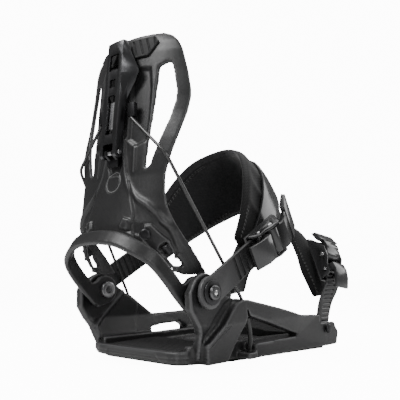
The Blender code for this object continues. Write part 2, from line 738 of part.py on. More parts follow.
def softened(route, reach=5):
    """A route with each inner corner cut by a short curve."""
    points = [Vector(p) for p in route]
    out = [points[0]]
    for before, here, after in zip(points, points[1:], points[2:]):
        start = here + (before - here).normalized() * reach
        end = here + (after - here).normalized() * reach
        out += [start.lerp(here, t).lerp(here.lerp(end, t), t) for t in (0, 0.35, 0.65, 1)]
    return out + [points[-1]]


def cables():
    made = {}
    for word, side in SIDES.items():
        upper = softened(mirrored(CABLE_ROUTE, side))
        made[f"cable_{word}"] = wire(f"cable_{word}", upper, CABLE_RADIUS, cable_black, 10)
        lower = smooth(mirrored(SHEATH_ROUTE, side), 3)
        made[f"cable_sheath_{word}"] = wire(f"cable_sheath_{word}", lower, SHEATH_RADIUS, cable_black)
    return made


def arm_point(along, across):
    slope = math.radians(ARM_SLOPE)
    return (
        PIVOT_X + along * math.cos(slope) - across * math.sin(slope),
        PIVOT_Z + along * math.sin(slope) + across * math.cos(slope),
    )


def ankle_arm(word, side, length):
    """A toothed arm from the main bolt up to the ankle strap."""
    half = ARM_WIDTH / 2
    start = math.degrees(math.asin(half / LUG_RADIUS))
    angles = [math.radians(start + (360 - 2 * start) * k / 12) for k in range(13)]
    outline = [arm_point(LUG_RADIUS * math.cos(a), LUG_RADIUS * math.sin(a)) for a in angles]
    outline += [arm_point(length - 5, -half), arm_point(length, -half + 5), arm_point(length, half - 5),
                arm_point(length - 5, half)]
    low, high = sorted((side * ARM_IN, side * (ARM_IN + ARM_THICK)))
    arm = prism(f"ankle_arm_{word}", outline, "y", low, high, nylon)
    cut(arm, lathe(f"arm_hole_{word}", [(BOLT_RADIUS + GAP, -9), (BOLT_RADIUS + GAP, 9)], (PIVOT_X, side * 70, PIVOT_Z),
                   (0, 1, 0), count=20))
    low, high = sorted((side * (ARM_IN + ARM_THICK - 1), side * (ARM_IN + ARM_THICK + 1)))
    for k in range(int((length - 40) / (2 * ARM_TOOTH))):
        at = 34 + 2 * ARM_TOOTH * k
        groove = [arm_point(at, 1 - half), arm_point(at + ARM_TOOTH, 1 - half), arm_point(at + ARM_TOOTH, half - 1),
                  arm_point(at, half - 1)]
        cut(arm, prism(f"arm_groove_{word}_{k}", groove, "y", low, high))
        if word == "far":
            inner_low, inner_high = sorted((side * (ARM_IN - 1), side * (ARM_IN + 0.9)))
            cut(arm, prism(f"arm_inner_groove_{k}", groove, "y", inner_low, inner_high))
    return arm


# The outer face of each padded strap, from its middle to its far end: rear edge, middle line and front edge
ANKLE_REAR = ((7, 0, 200), (1, 20, 194.5), (-9, 34, 184), (-20, 46, 166), (-30, 54, 146), (-39, 59, 125), (-48, 61.5, 103))
ANKLE_MIDDLE = ((44, 0, 178), (38, 23, 171), (26, 40, 157), (11, 52, 140), (-5, 59, 122), (-22, 61.8, 105),
                (-40, 62, 91))
ANKLE_FRONT = ((67, 0, 143), (61, 22, 138), (49, 38, 128), (34, 51, 117), (13, 58.5, 104), (-10, 61.5, 91),
               (-34, 62, 79))
TOE_REAR = ((96, 0, 121), (88, 20, 113), (77, 38, 94), (73, 50, 74), (82, 58.5, 51))
TOE_MIDDLE = ((112, 0, 128), (106, 22, 121), (98, 41, 102), (96, 54, 78), (96, 59.5, 52))
TOE_FRONT = ((126, 0, 114), (123, 21, 108), (117, 38, 93), (113, 51, 74), (108, 58.5, 53))


def strap_face(lines, share, count, offset=0.0):
    """Points across a strap's outer face, share of the way from its rear edge to its front edge."""
    def whole(half):
        return smooth(mirrored(half[:0:-1], -1) + list(half), 1)

    def fine(half):
        return smooth(whole(half), count)

    rear, middle, front = (fine(line) for line in lines)
    row = []
    for a, b, c in zip(rear, middle, front):
        bend = 2 * b - (a + c) / 2
        here = (1 - share) ** 2 * a + 2 * share * (1 - share) * bend + share**2 * c
        across = (c - a).normalized()
        row.append((here, across))
    points = [here for here, _ in row]
    along = tangents(points)
    return [here + across.cross(way).normalized() * offset for (here, across), way in zip(row, along)]


def padded_strap(name, lines, thick, shares, finish, count=2, offset=0.0):
    grid = [strap_face(lines, share, count, offset) for share in shares]
    return sheet(name, grid, thick, finish)


def frame(origin, along, outward):
    along = Vector(along).normalized()
    across = along.cross(Vector(outward)).normalized()
    outward = across.cross(along)
    turned = Matrix((along, outward, across)).transposed().to_4x4()
    return Matrix.Translation(Vector(origin) * MM) @ turned


def placed(obj, matrix):
    obj.matrix_world = matrix
    return obj


def swept(obj, sweep_by):
    """Leans the long end of a buckle's handle sideways along its hinge."""
    if sweep_by:
        reshape(obj, [("x", SWEEP_FROM)], lambda x, y, z: (x, y, z - sweep_by * max(0, x - SWEEP_FROM)))
    return obj


def buckle(word, at, reach, sweep_by):
    """A ratchet buckle in its own frame: X along the strap, Y outward, Z across. reach is its handle's length."""
    half = BUCKLE_HALF
    outer = half + BUCKLE_EAR
    hole = BUCKLE_PIN + GAP
    body = placed(box(f"{word}_buckle_frame", (-24, 0, -outer), (22, BUCKLE_FLOOR, outer), gloss_nylon), at)
    ear_outline = [(-22, 0), (20, 0), (20, 5), (7, 16.6), (-4, 16.6), (-10, 13.6), (-18, 13.6), (-22, 9)]
    for low in (-outer, half):
        join(body, placed(prism(f"{word}_ear_{low:.0f}", ear_outline, "z", low, low + BUCKLE_EAR), at))
    for x, y in ((0, BUCKLE_PIN_HIGH), (-PAWL_BACK, PAWL_HIGH)):
        cut(body, placed(lathe(f"{word}_pin_hole_{x}", [(hole, -30), (hole, 30)], (x, y, 0), (0, 0, 1), count=16), at))
    handle = [(-1.7, 15.6, 0), (0.36 * reach, 19, 5), (0.72 * reach, 15.8, 8), (reach, 12.2, 1.5),
              (reach + 0.5, 8.8, 1.5), (0.72 * reach, 11.8, 8), (0.38 * reach, 14.6, 5), (3.6, 9.3, 0), (-1.7, 8.1, 0)]
    lever_body = prism(f"{word}_ratchet_lever", filleted(handle), "z", -half + 1, half - 1, gloss_nylon)
    placed(swept(lever_body, sweep_by), at)
    hub = placed(prism(f"{word}_lever_hub", circle(0, BUCKLE_PIN_HIGH, BUCKLE_HUB, 20), "z", -half + 1.3,
                       half - 1.3), at)
    wide = [(0.62 * reach, 17.4), (0.8 * reach, 15.1), (reach + 1, 12.8), (reach + 1.8, 8.1), (0.8 * reach, 10.3),
            (0.62 * reach, 12.5)]
    thumb = prism(f"{word}_lever_thumb", wide, "z", -outer - 1.5, outer + 1.5)
    placed(swept(thumb, sweep_by), at)
    join(lever_body, hub, thumb)
    bore = placed(lathe(f"{word}_lever_bore", [(hole, -30), (hole, 30)], (0, BUCKLE_PIN_HIGH, 0), (0, 0, 1),
                        count=16), at)
    cut(lever_body, bore)
    pin = placed(lathe(f"{word}_lever_pin", [(BUCKLE_PIN, -outer - 1), (BUCKLE_PIN, outer + 1)],
                       (0, BUCKLE_PIN_HIGH, 0), (0, 0, 1), bright_metal, count=16), at)
    wing = [(-PAWL_BACK - 1, PAWL_HIGH - 2), (-PAWL_BACK + 4.5, PAWL_HIGH - 2.9), (-PAWL_BACK + 4.2, PAWL_HIGH + 4),
            (-PAWL_BACK + 4, PAWL_HIGH + 8.6), (-PAWL_BACK - 3, PAWL_HIGH + 9.8), (-PAWL_BACK - 11, PAWL_HIGH + 8.4),
            (-PAWL_BACK - 20.5, PAWL_HIGH + 4.2), (-PAWL_BACK - 20, PAWL_HIGH + 2), (-PAWL_BACK - 10.5, PAWL_HIGH + 5.4),
            (-PAWL_BACK - 4, PAWL_HIGH + 6.2)]
    pawl = placed(prism(f"{word}_pawl", wing, "z", -half + 1.6, half - 1.6, gloss_nylon), at)
    join(pawl, placed(prism(f"{word}_pawl_hub", circle(-PAWL_BACK, PAWL_HIGH, PAWL_HUB + 0.4, 16), "z", -half + 1.6,
                            half - 1.6), at))
    cut(pawl, placed(lathe(f"{word}_pawl_bore", [(1.5 + GAP, -30), (1.5 + GAP, 30)], (-PAWL_BACK, PAWL_HIGH, 0),
                           (0, 0, 1), count=12), at))
    pawl_pin = placed(lathe(f"{word}_pawl_pin", [(1.5, -outer - 0.8), (1.5, outer + 0.8)],
                            (-PAWL_BACK, PAWL_HIGH, 0), (0, 0, 1), bright_metal, count=12), at)
    return body, lever_body, pin, pawl, pawl_pin


ANKLE_FRAME = frame((arm_point(86, 0)[0], -(ARM_IN - BUCKLE_FLOOR - 0.5), arm_point(86, 0)[1]),
                    (math.cos(math.radians(ARM_SLOPE)), 0, math.sin(math.radians(ARM_SLOPE))), (0, -1, 0))
TOE_FRAME = frame((98, -53.5, 86), (0.14, 0.4, 0.905), (0, -0.9, 0.42))


def toe_ladder(word, side):
    """The ladder that comes out of its slot in the side wall and bends in over the toe strap."""
    mirror = Matrix.Diagonal((1, -side, 1, 1))
    high = BUCKLE_FLOOR + 0.5 + ARM_THICK / 2
    upper = [mirror @ TOE_FRAME @ (Vector((x, high, 0)) * MM) / MM for x in (-27, -14, 2, 19)]
    lower = [(TOE_BOLT[0] - 1, side * 64.2, TOE_BOLT[1] - 6), (TOE_BOLT[0] + 1.5, side * 64.2, TOE_BOLT[1] + 12),
             (TOE_BOLT[0] + 7, side * 65, TOE_BOLT[1] + 27)]
    route = smooth(lower + upper, 3)
    top = mirror.to_3x3() @ TOE_FRAME.to_3x3().col[2]
    low_z, high_z = TOE_BOLT[1] + 12, TOE_BOLT[1] + 44

    def across(station):
        return Vector((0.99, 0, -0.13)).lerp(top, min(1, max(0, (station.z - low_z) / (high_z - low_z))))

    made = sweep(f"toe_ladder_{word}", route, across, cushion_section(TOE_LADDER_WIDTH, ARM_THICK, 0.6), nylon)
    cut(made, lathe(f"ladder_hole_{word}", [(2.3, -12), (2.3, 14)], (TOE_BOLT[0], side * 64, TOE_BOLT[1]),
                    (0, side, 0), count=16))
    return made


def toe_bolts():
    made = []
    for word, side in SIDES.items():
        made.append(lathe(f"toe_bolt_{word}", [(2, 61.2), (2, 70.4), (4.5, 70.4), (4.5, 71.6), (3.4, 72.4)],
                          (TOE_BOLT[0], 0, TOE_BOLT[1]), (0, side, 0), steel, count=20))
    return made


def build():
    tray = base_tray()
    underpad()
    mounting_disc()
    footbed()
    hoop = heel_hoop()
    back = highback_shell()
    grip = top_grip()
    hoop_screws = hoop_fasteners()
    bolts()
    lever_body = lever()
    bracket, pin, block, guides = lever_mount()
    cables()
    recline = hinge("highback_axis", (PIVOT_X, 0, PIVOT_Z), hoop, back, grip, *hoop_screws, bracket, pin, *guides)
    hinge("lever_axis", (LEVER_PIN[0], 0, LEVER_PIN[1]), lever_body, block, parent=recline)
    arms = [ankle_arm("near", -1, ARM_LENGTH), ankle_arm("far", 1, ARM_LENGTH - 28)]
    shares = [k / 6 for k in range(7)]
    lines = (ANKLE_REAR, ANKLE_MIDDLE, ANKLE_FRONT)
    pad = padded_strap("ankle_pad", lines, ANKLE_PAD_THICK, shares, fabric)
    shell = padded_strap("ankle_shell", lines, SHELL_THICK, [0.3, 0.4, 0.5, 0.6, 0.7], gloss_nylon,
                         offset=SHELL_THICK + 0.4)
    frame_a, lever_a, pin_a, pawl_a, pawl_pin_a = buckle("ankle", ANKLE_FRAME, ANKLE_REACH, ANKLE_SWEEP)
    swing = hinge("ankle_strap_axis", (PIVOT_X, 0, PIVOT_Z), *arms, pad, shell, frame_a, pin_a, pawl_pin_a)
    lines = (TOE_REAR, TOE_MIDDLE, TOE_FRONT)
    toe_pad = padded_strap("toe_strap_pad", lines, TOE_PAD_THICK, [k / 4 for k in range(5)], fabric)
    ladders = [toe_ladder("near", -1), toe_ladder("far", 1)]
    toe_bolts()
    frame_t, lever_t, pin_t, pawl_t, pawl_pin_t = buckle("toe", TOE_FRAME, TOE_REACH, 0)
    toe_swing = hinge("toe_strap_axis", (TOE_BOLT[0], 0, TOE_BOLT[1]), *ladders, toe_pad, frame_t, pin_t, pawl_pin_t)
    for word, at, moving, parent in (("ankle", ANKLE_FRAME, (lever_a, pawl_a), swing),
                                     ("toe", TOE_FRAME, (lever_t, pawl_t), toe_swing)):
        spot = at @ (Vector((0, BUCKLE_PIN_HIGH, 0)) * MM) / MM
        hinge(f"{word}_lever_axis", spot, moving[0], parent=parent)
        spot = at @ (Vector((-PAWL_BACK, PAWL_HIGH, 0)) * MM) / MM
        hinge(f"{word}_pawl_axis", spot, moving[1], parent=parent)
    return tray


clear_scene()
parts = new_collection("snowboard_binding")
cutters = new_collection("cutters")
nylon = material("nylon", (0.035, 0.035, 0.037), 0.5)
gloss_nylon = material("gloss_nylon", (0.012, 0.012, 0.013), 0.28)
rubber = material("rubber", (0.03, 0.03, 0.03), 0.75)
foam = material("foam", (0.02, 0.02, 0.02), 0.9)
fabric = material("fabric", (0.012, 0.012, 0.012), 0.9)
steel = material("steel", (0.35, 0.35, 0.36), 0.3, 1.0)
black_metal = material("black_metal", (0.03, 0.03, 0.03), 0.35, 0.7)
bright_metal = material("bright_metal", (0.6, 0.6, 0.6), 0.28, 1.0)
lever_metal = material("lever_metal", (0.22, 0.22, 0.23), 0.4, 0.8)
cable_black = material("cable_black", (0.02, 0.02, 0.02), 0.4, 0.3)
build()
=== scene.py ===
import json
import math
import bmesh
import bpy
import numpy as np
from mathutils import Matrix, Vector
from mathutils.kdtree import KDTree

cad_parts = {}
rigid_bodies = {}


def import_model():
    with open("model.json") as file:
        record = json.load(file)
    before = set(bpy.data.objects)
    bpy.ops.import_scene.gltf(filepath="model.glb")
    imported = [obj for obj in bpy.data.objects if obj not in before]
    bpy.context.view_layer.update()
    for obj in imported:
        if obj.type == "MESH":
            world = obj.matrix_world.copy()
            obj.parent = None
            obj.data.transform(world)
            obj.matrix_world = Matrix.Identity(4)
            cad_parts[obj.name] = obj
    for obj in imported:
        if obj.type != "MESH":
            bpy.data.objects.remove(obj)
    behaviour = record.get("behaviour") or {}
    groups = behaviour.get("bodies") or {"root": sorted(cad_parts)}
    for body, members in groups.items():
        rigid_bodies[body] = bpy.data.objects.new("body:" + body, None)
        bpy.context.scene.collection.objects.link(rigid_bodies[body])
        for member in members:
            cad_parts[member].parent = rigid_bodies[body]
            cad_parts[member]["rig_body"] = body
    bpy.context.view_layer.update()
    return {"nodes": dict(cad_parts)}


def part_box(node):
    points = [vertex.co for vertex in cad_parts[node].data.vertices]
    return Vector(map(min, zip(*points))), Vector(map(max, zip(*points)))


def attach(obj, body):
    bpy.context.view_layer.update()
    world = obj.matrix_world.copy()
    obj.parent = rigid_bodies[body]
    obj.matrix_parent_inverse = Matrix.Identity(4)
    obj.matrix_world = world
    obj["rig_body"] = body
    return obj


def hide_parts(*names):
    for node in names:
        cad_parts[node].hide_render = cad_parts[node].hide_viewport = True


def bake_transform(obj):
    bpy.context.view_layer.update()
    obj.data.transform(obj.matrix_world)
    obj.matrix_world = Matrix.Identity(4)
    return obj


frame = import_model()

nodes = frame["nodes"]
mm = 0.001
sides = {"near": -1, "far": 1}


camera = {"place": (-0.40618, -0.33849, 0.07170), "turn": 41.906, "rise": 7.835, "lens": 48.92}


def makeCamera(spec=camera):
    turn, rise = math.radians(spec["turn"]), math.radians(spec["rise"])
    look = Vector((math.cos(turn) * math.cos(rise), math.sin(turn) * math.cos(rise), math.sin(rise)))
    data = bpy.data.cameras.new("studioCamera")
    data.lens = spec["lens"]
    data.sensor_width = 36
    data.clip_start = 0.01
    made = bpy.data.objects.new("studioCamera", data)
    bpy.context.scene.collection.objects.link(made)
    made.location = spec["place"]
    made.rotation_euler = look.to_track_quat("-Z", "Y").to_euler()
    bpy.context.scene.camera = made


makeCamera()
print("camera set")


class Wire:  # a node output that can stand in a sum
    def __init__(self, finish, socket):
        self.finish = finish
        self.socket = socket

    def sum(self, operation, a, b=0.0, c=0.0):
        return self.finish.node("ShaderNodeMath", {"operation": operation}, {0: a, 1: b, 2: c})

    def __add__(self, other):
        return self.sum("ADD", self, other)

    def __radd__(self, other):
        return self.sum("ADD", other, self)

    def __sub__(self, other):
        return self.sum("SUBTRACT", self, other)

    def __rsub__(self, other):
        return self.sum("SUBTRACT", other, self)

    def __mul__(self, other):
        return self.sum("MULTIPLY", self, other)

    def __rmul__(self, other):
        return self.sum("MULTIPLY", other, self)

    def __pow__(self, other):
        return self.sum("POWER", self, other)

    def wave(self):
        return self.sum("SINE", self)

    def ease(self, low, high):
        return self.finish.node("ShaderNodeMapRange", {"interpolation_type": "SMOOTHSTEP"},
                                {0: self, 1: low, 2: high, 3: 0.0, 4: 1.0})


class Finish:
    def __init__(self, name, **values):
        self.made = bpy.data.materials.new(name)
        self.made.use_nodes = True
        self.tree = self.made.node_tree
        self.shader = self.tree.nodes["Principled BSDF"]
        for key, value in values.items():
            self.shader.inputs[key.replace("_", " ")].default_value = value

    def node(self, kind, settings=None, inputs=None, out=0):
        made = self.tree.nodes.new(kind)
        for key, value in (settings or {}).items():
            setattr(made, key, value)
        for key, value in (inputs or {}).items():
            self.join(value, made.inputs[key])
        return Wire(self, made.outputs[out])

    def join(self, value, socket):
        if isinstance(value, Wire):
            self.tree.links.new(value.socket, socket)
        else:
            socket.default_value = value

    def feed(self, **sockets):
        for key, value in sockets.items():
            self.join(value, self.shader.inputs[key.replace("_", " ")])
        return self

    def place(self, out="Object"):
        return self.node("ShaderNodeTexCoord", out=out)

    def noise(self, scale, detail=3.0, rough=0.5, where=None):
        where = where or self.place()
        inputs = {"Vector": where, "Scale": scale, "Detail": detail, "Roughness": rough}
        return self.node("ShaderNodeTexNoise", {}, inputs)

    def parts(self, vector):
        made = self.tree.nodes.new("ShaderNodeSeparateXYZ")
        self.join(vector, made.inputs[0])
        return [Wire(self, made.outputs[k]) for k in range(3)]

    def blend(self, factor, a, b):
        made = self.tree.nodes.new("ShaderNodeMix")
        made.data_type = "RGBA"
        self.join(factor, made.inputs[0])
        for value, socket in ((a, made.inputs[6]), (b, made.inputs[7])):
            self.join(value if isinstance(value, Wire) else (*value, 1), socket)
        return Wire(self, made.outputs[2])

    def bump(self, height, strength, distance, under=None):
        inputs = {"Height": height, "Strength": strength, "Distance": distance}
        if under:  # a finer pattern lies on a coarser one
            inputs["Normal"] = under
        return self.node("ShaderNodeBump", {}, inputs)

    def edge(self, low=0.5, high=0.56):  # 1 where the surface bulges, 0 where it's flat or hollow
        return self.node("ShaderNodeNewGeometry", out="Pointiness").ease(low, high)


def mouldedPlastic(name, dark, pale, paintedRimHighlight, rough, grain=0.5, specular=0.5):
    made = Finish(name, Specular_IOR_Level=specular)
    cloud = made.noise(38.0, 4.0)
    fine = made.noise(2600.0, 2.0)
    mid = made.noise(420.0, 3.0)
    tone = made.blend(cloud, dark, pale)
    # paler tone on bulging edges: a painted highlight along the rims, where the lamps would catch them
    tone = made.blend(made.edge() * 0.55, tone, paintedRimHighlight)
    made.feed(Base_Color=tone, Roughness=rough + (cloud - 0.5) * 0.16 + (mid - 0.5) * 0.12)
    made.feed(Normal=made.bump(fine * 0.7 + mid * 0.3, grain, 0.00012))
    return made.made


def ribbedRubber():
    made = Finish("ribbedRubber", Specular_IOR_Level=0.4)
    cloud = made.noise(60.0, 4.0)
    fine = made.noise(1900.0, 3.0)
    tone = made.blend(cloud, (0.007, 0.007, 0.0075), (0.013, 0.013, 0.0135))
    # paler tone on bulging edges: a painted highlight along the rubber's rims
    tone = made.blend(made.edge() * 0.4, tone, (0.04, 0.04, 0.04))
    made.feed(Base_Color=tone, Roughness=0.66 + (fine - 0.5) * 0.2)
    made.feed(Normal=made.bump(fine, 0.5, 0.00015))
    return made.made


def closedFoam():
    made = Finish("closedFoam", Specular_IOR_Level=0.3)
    cells = made.node("ShaderNodeTexVoronoi", {}, {"Vector": made.place(), "Scale": 1300.0})
    tone = made.blend(cells, (0.012, 0.012, 0.012), (0.03, 0.03, 0.03))
    made.feed(Base_Color=tone, Roughness=0.9 - cells * 0.1, Normal=made.bump(cells, 0.4, 0.0002))
    return made.made


def brushedMetal(name, dark, pale, rough, stretch=(1, 1, 14), depth=0.25):
    made = Finish(name, Metallic=1.0)
    drawn = made.node("ShaderNodeMapping", {}, {"Vector": made.place(), "Scale": stretch})
    lines = made.noise(520.0, 5.0, 0.6, drawn)
    stain = made.noise(70.0, 3.0)
    tone = made.blend(lines * 0.6 + stain * 0.4, dark, pale)
    # brighter tone on bulging edges: a painted highlight along the metal's rims
    tone = made.blend(made.edge() * 0.4, tone, tuple(min(1.0, v * 1.5) for v in pale))
    made.feed(Base_Color=tone, Roughness=rough + (lines - 0.5) * 0.2 + (stain - 0.5) * 0.15)
    made.feed(Normal=made.bump(lines, depth, 0.00005))
    return made.made


def wovenCloth(name, dark, pale, rib, weave=0.6, sheen=0.35):
    made = Finish(name, Sheen_Weight=sheen, Sheen_Roughness=0.5, Specular_IOR_Level=0.25)
    across, along, _ = made.parts(made.node("ShaderNodeUVMap", {"uv_map": "cloth"}))
    warp = (along * rib).wave()
    weft = (across * rib).wave()
    threads = warp * weft * 0.5 + 0.5
    fuzz = made.noise(900.0, 4.0)
    cloud = made.noise(45.0, 4.0)
    tone = made.blend(threads * 0.5 + fuzz * 0.25 + cloud * 0.25, dark, pale)
    made.feed(Base_Color=tone, Roughness=0.86 + (fuzz - 0.5) * 0.2)
    made.feed(Normal=made.bump(threads * 0.7 + fuzz * 0.3, weave, 0.0003))
    return made.made


def sleeve(name, dark, pale, rough, turns=2600.0):
    made = Finish(name, Specular_IOR_Level=0.6)
    x, y, z = made.parts(made.place())
    lay = ((z + x * 0.6 + y * 0.5) * turns).wave() * 0.5 + 0.5
    cloud = made.noise(120.0, 3.0)
    made.feed(Base_Color=made.blend(lay * 0.2 + cloud * 0.8, dark, pale))
    made.feed(Roughness=rough + (cloud - 0.5) * 0.2)
    made.feed(Normal=made.bump(lay, 0.12, 0.00005))
    return made.made


# the third colour of each moulded finish is the painted highlight on its bulging edges
finishes = {
    "nylon": mouldedPlastic("mouldedNylon", (0.008, 0.008, 0.0085), (0.014, 0.014, 0.0145),
                            (0.12, 0.12, 0.123), 0.42),
    "gloss": mouldedPlastic("glossNylon", (0.004, 0.004, 0.0045), (0.008, 0.008, 0.0085),
                            (0.07, 0.07, 0.072), 0.18, 0.15),
    "rubber": ribbedRubber(),
    "foam": closedFoam(),
    "steel": brushedMetal("plainSteel", (0.22, 0.22, 0.225), (0.46, 0.46, 0.47), 0.3),
    "blackMetal": brushedMetal("blackSteel", (0.02, 0.02, 0.021), (0.05, 0.05, 0.052), 0.4),
    "darkSteel": brushedMetal("darkSteel", (0.07, 0.07, 0.072), (0.14, 0.14, 0.143), 0.32),
    "brightMetal": brushedMetal("brightZinc", (0.5, 0.5, 0.51), (0.78, 0.78, 0.79), 0.24),
    "leverMetal": brushedMetal("greyAnodised", (0.045, 0.045, 0.047), (0.085, 0.085, 0.088), 0.34),
    "cloth": wovenCloth("strapCloth", (0.006, 0.006, 0.0065), (0.016, 0.016, 0.017), 2400.0),
    # the lining's darker tone than the strap cloth is painted shade on the faces turned to the boot
    "lining": wovenCloth("strapLining", (0.003, 0.003, 0.0032), (0.008, 0.008, 0.0085), 1700.0, 0.8, 0.12),
    # the binding is binding tape, and its paler tone than the strap cloth is painted light on the strap's
    # lit edge
    "binding": wovenCloth("strapBinding", (0.02, 0.02, 0.021), (0.045, 0.045, 0.047), 3600.0, 0.8, 0.25),
    "print": mouldedPlastic("greyPrint", (0.09, 0.09, 0.092), (0.15, 0.15, 0.152), (0.2, 0.2, 0.2), 0.5),
    "thread": sleeve("sewingThread", (0.05, 0.05, 0.05), (0.09, 0.09, 0.09), 0.6, 5200.0),
    "cable": sleeve("cableCoat", (0.02, 0.02, 0.02), (0.05, 0.05, 0.05), 0.26),
    "sheath": sleeve("sheathCoat", (0.008, 0.008, 0.008), (0.014, 0.014, 0.014), 0.36, 1200.0),
}
print("finishes made")


def keep(name, shape, finish, body, replaced=(), sharp=35, others=()):
    # puts a finished mesh in the scene, on its body
    data = shape
    if isinstance(shape, bmesh.types.BMesh):
        data = bpy.data.meshes.new(name)
        shape.to_mesh(data)
        shape.free()
    data.name = name
    data.materials.clear()
    for each in (finish, *others):
        data.materials.append(finishes[each])
    data.shade_smooth()
    if sharp:
        data.set_sharp_from_angle(angle=math.radians(sharp))
    made = bpy.data.objects.new(name, data)
    bpy.context.scene.collection.objects.link(made)
    if body:
        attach(made, body)
    if replaced:
        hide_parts(*replaced)
    return made


def mergedCopy(node):
    shape = bmesh.new()
    shape.from_mesh(nodes[node].data)
    bmesh.ops.remove_doubles(shape, verts=shape.verts, dist=2e-6)
    return shape


def settled(made):
    # the mesh with its modifiers applied
    graph = bpy.context.evaluated_depsgraph_get()
    data = bpy.data.meshes.new_from_object(made.evaluated_get(graph), depsgraph=graph)
    bpy.data.objects.remove(made)
    return data


def helper(shape, name="helper"):
    data = bpy.data.meshes.new(name)
    shape.to_mesh(data)
    shape.free()
    made = bpy.data.objects.new(name, data)
    bpy.context.scene.collection.objects.link(made)
    return made


def reached(data, key, width):
    values = np.zeros(len(data.vertices) * width)
    data.vertices.foreach_get(key, values)
    return values.reshape(-1, width)


def moulded(node, finish, grain, relax=3, carve=None, webs=()):
    # a moulded part: a fine even skin of the solid with soft edges, then carved
    shape = mergedCopy(node)
    for low, high in webs:
        size = Matrix.Diagonal([(b - a) * mm for a, b in zip(low, high)] + [1])
        middle = Vector([(a + b) / 2 * mm for a, b in zip(low, high)])
        bmesh.ops.create_cube(shape, size=1, matrix=Matrix.Translation(middle) @ size)
    made = helper(shape)
    remesh = made.modifiers.new("skin", "REMESH")
    remesh.mode = "VOXEL"
    remesh.voxel_size = grain * mm
    ease = made.modifiers.new("ease", "SMOOTH")
    ease.factor = 0.5
    ease.iterations = relax
    data = settled(made)
    if carve:
        places = reached(data, "co", 3) / mm
        moved = places + carve(places, reached(data, "normal", 3))
        data.vertices.foreach_set("co", (moved * mm).ravel())
        data.update()
    return keep(node + "_skin", data, finish, nodes[node]["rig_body"], (node,), sharp=0)


def crisp(node, finish, width, segments=2, corner=28):
    # a machined or sharp part: the solid with small even chamfers
    shape = mergedCopy(node)
    bmesh.ops.dissolve_limit(shape, angle_limit=math.radians(0.6), verts=shape.verts, edges=shape.edges)
    least = math.radians(corner)
    chosen = [e for e in shape.edges if len(e.link_faces) == 2 and e.calc_face_angle() > least]
    bmesh.ops.bevel(shape, geom=chosen, offset=width * mm, offset_type="OFFSET", segments=segments,
                    profile=0.5, affect="EDGES", clamp_overlap=True, material=-1)
    return keep(node + "_finished", shape, finish, nodes[node]["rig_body"], (node,), sharp=38)


# ways of measuring on a flat drawing of a part, in millimetres
def rise(value, low, high):
    share = np.clip((value - low) / (high - low), 0, 1)
    return share * share * (3 - 2 * share)


def toLine(spots, line):
    nearest = np.full(len(spots), 1e9)
    for a, b in zip(np.array(line[:-1], float), np.array(line[1:], float)):
        along = b - a
        share = np.clip(((spots - a) @ along) / (along @ along), 0, 1)
        nearest = np.minimum(nearest, np.linalg.norm(spots - a - share[:, None] * along, axis=1))
    return nearest


def within(spots, loop):
    # how deep inside an outline a spot is; less than 0 outside
    ring = [*loop, loop[0]]
    depth = toLine(spots, ring)
    odd = np.zeros(len(spots), bool)
    for (ax, ay), (bx, by) in zip(ring[:-1], ring[1:]):
        crosses = (ay > spots[:, 1]) != (by > spots[:, 1])
        if ay != by:
            odd ^= crosses & (spots[:, 0] < (bx - ax) * (spots[:, 1] - ay) / (by - ay) + ax)
    return np.where(odd, depth, -depth)


def ridge(distance, height, width):
    return height * np.exp(-(distance / width) ** 2)


def pad(spots, loop, height, soft=0.8):
    return height * rise(within(spots, loop), -soft / 2, soft)


# highback: (distance from the middle, height) on its back face
back = {
    "flare": {"line": [(9, 178), (10.7, 165), (13.7, 151), (17.3, 142.3), (23, 135), (29.6, 129.3),
                       (38.3, 124.3), (47.4, 116.3), (53.5, 107), (56, 94)], "height": 1.5, "width": 2.1},
    "column": {"line": [(21.5, 171), (22.2, 152)], "height": 1.0, "width": 1.5},
    "pads": {  # raised, or sunk where the height is below 0
        "valley": {"loop": [(13.5, 157), (18, 145), (24, 135.5), (30, 127), (38.5, 121.5), (47, 113.5),
                            (52.5, 104), (55, 88), (47, 84), (29, 96), (27, 119), (21, 134)],
                   "height": -1.5, "soft": 1.6},
        "block": {"loop": [(37.5, 108.5), (43, 109), (52, 97), (50.5, 84), (44, 84), (36, 98)],
                  "height": 2.1, "soft": 1.0},
        "tab": {"loop": [(17, 107), (19.5, 115), (26.5, 113), (25.5, 105)], "height": 1.6, "soft": 0.8},
        "pocket": {"loop": [(24.5, 112), (36.5, 110.5), (33.5, 101), (24, 104)],
                   "height": -1.0, "soft": 0.8},
        "besideLever": {"loop": [(12, 240), (30, 237), (32.6, 220), (33.6, 192), (33, 175), (22, 172),
                                 (13, 178)], "height": -1.7, "soft": 2.6},
        "underLever": {"loop": [(-9, 179), (9, 179), (9, 160), (5.5, 150), (-5.5, 150), (-9, 160)],
                       "height": -1.8, "soft": 1.6},
    },
    "seat": {"middle": 145, "radius": 8.2, "depth": 0.7, "width": 0.6},
    "slotWeb": {"along": (-113.2, -107.4), "aside": (47.6, 52.4), "height": (73.6, 78.4)},
}


def beam(spots, line, height, width):
    return ridge(toLine(spots, line), height, width)


def carveBack(places, normals, spec=back):
    flat = np.stack([np.abs(places[:, 1]), places[:, 2]], 1)
    height = beam(flat, **spec["flare"])
    for form in spec["pads"].values():
        height += pad(flat, **form)
    height += beam(flat, **spec["column"])
    seat = spec["seat"]
    out = np.hypot(places[:, 1], places[:, 2] - seat["middle"])
    height -= ridge(out - seat["radius"], seat["depth"], seat["width"])
    onBack = rise(-normals[:, 0], 0.2, 0.5)
    return normals * (height * onBack)[:, None]


def slotWebs(spec=back["slotWeb"]):
    # the corners of the boxes that close the lower end of the slot in each arm
    made = []
    for side in sides.values():
        low, high = sorted(side * reach for reach in spec["aside"])
        made.append(tuple(zip(spec["along"], (low, high), spec["height"])))
    return made


grip = {"pitch": 6.8, "slant": 0.35, "middle": 256, "low": 248.5, "high": 263.5, "fade": 1.5, "depth": 1.0,
        "width": 0.75}


